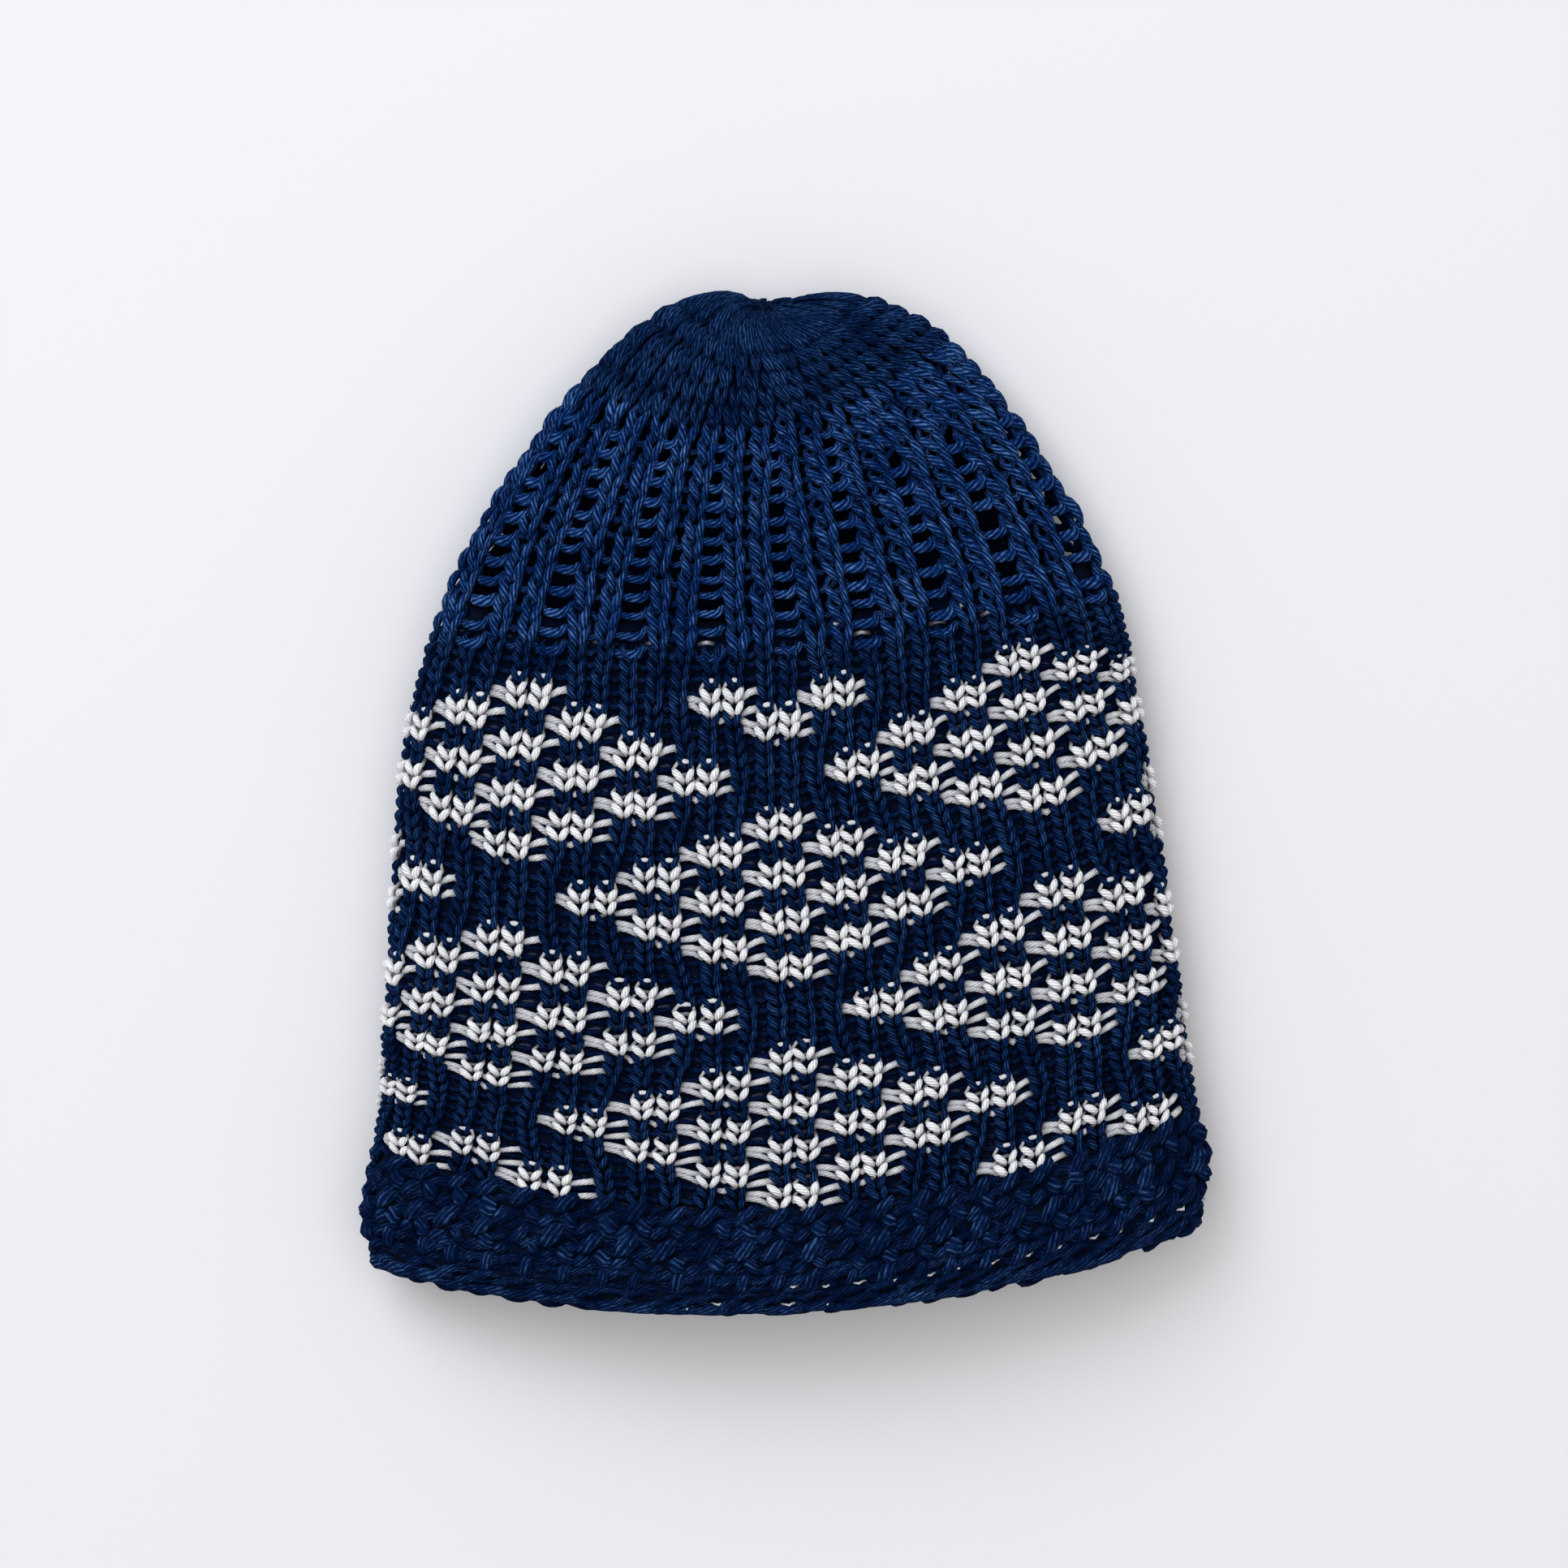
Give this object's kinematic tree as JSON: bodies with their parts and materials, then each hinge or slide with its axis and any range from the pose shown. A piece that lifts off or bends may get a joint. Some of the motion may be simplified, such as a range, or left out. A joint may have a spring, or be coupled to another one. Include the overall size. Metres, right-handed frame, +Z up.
{
  "type": "knitted prayer cap",
  "caption": "Soft knitted prayer cap lying flat: chunky band, body with a lozenge pattern, openwork ribs and a gathered crown.",
  "frame": {"origin": "middle of the bounding box on the surface that the cap lies on", "axes": "+Z up from the resting surface, +Y from the mouth towards the crown, +X to the right of the cap seen from above"},
  "size_m": [0.2073, 0.2512, 0.035],
  "materials": {
    "navy_yarn": "matte spun yarn, knitted",
    "brim_yarn": "matte thick spun yarn, knitted",
    "white_yarn": "matte spun yarn, knitted in and carried behind"
  },
  "bodies": {
    "root": {"crown": "navy_yarn", "openwork_ribs": "navy_yarn", "patterned_body": "navy_yarn", "brim_band": "brim_yarn"}
  },
  "joints": []
}
